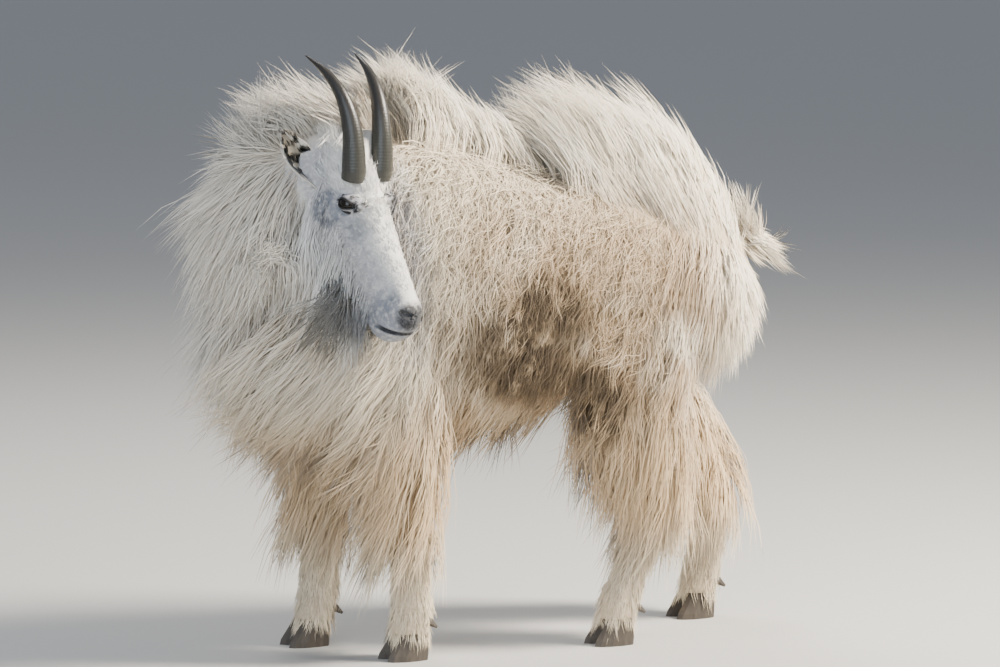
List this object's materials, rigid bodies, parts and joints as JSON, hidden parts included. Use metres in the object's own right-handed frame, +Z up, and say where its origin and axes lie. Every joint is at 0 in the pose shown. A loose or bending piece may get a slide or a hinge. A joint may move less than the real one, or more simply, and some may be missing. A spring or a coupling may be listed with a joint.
{
  "type": "mountain goat",
  "caption": "Life-size mountain goat billy in a long, shedding white coat, standing still with its head turned back over its left side.",
  "frame": {"origin": "on the floor, under the middle of the whole animal's box", "axes": "+Z up; the body faces -X, its left side is -Y, and the head is turned round to the left"},
  "size_m": [1.2438, 0.5864, 1.0903],
  "materials": {
    "coat": "long, coarse white guard hair over matted wool, dull",
    "short_coat": "short, close white hair, stained tan",
    "face": "short white hair, bare dark skin at the nose and lips",
    "ear": "short white hair, darker skin inside",
    "horn": "black keratin, ridged near the base, satin",
    "hoof": "worn grey-black keratin",
    "eye": "dark, wet"
  },
  "bodies": {
    "root": {"torso": "coat", "neck": "coat", "head": "face", "beard": "coat", "tail": "coat", "horn_left": "horn", "ear_left": "ear", "eye_left": "eye", "horn_right": "horn", "ear_right": "ear", "eye_right": "eye", "foreleg_left_upper": "coat", "foreleg_left_lower": "short_coat", "hoof_fore_left_outer": "hoof", "dewclaw_fore_left_outer": "hoof", "hoof_fore_left_inner": "hoof", "dewclaw_fore_left_inner": "hoof", "foreleg_right_upper": "coat", "foreleg_right_lower": "short_coat", "hoof_fore_right_outer": "hoof", "dewclaw_fore_right_outer": "hoof", "hoof_fore_right_inner": "hoof", "dewclaw_fore_right_inner": "hoof", "hindleg_left_upper": "coat", "hindleg_left_lower": "short_coat", "hoof_hind_left_outer": "hoof", "dewclaw_hind_left_outer": "hoof", "hoof_hind_left_inner": "hoof", "dewclaw_hind_left_inner": "hoof", "hindleg_right_upper": "coat", "hindleg_right_lower": "short_coat", "hoof_hind_right_outer": "hoof", "dewclaw_hind_right_outer": "hoof", "hoof_hind_right_inner": "hoof", "dewclaw_hind_right_inner": "hoof"}
  },
  "joints": []
}
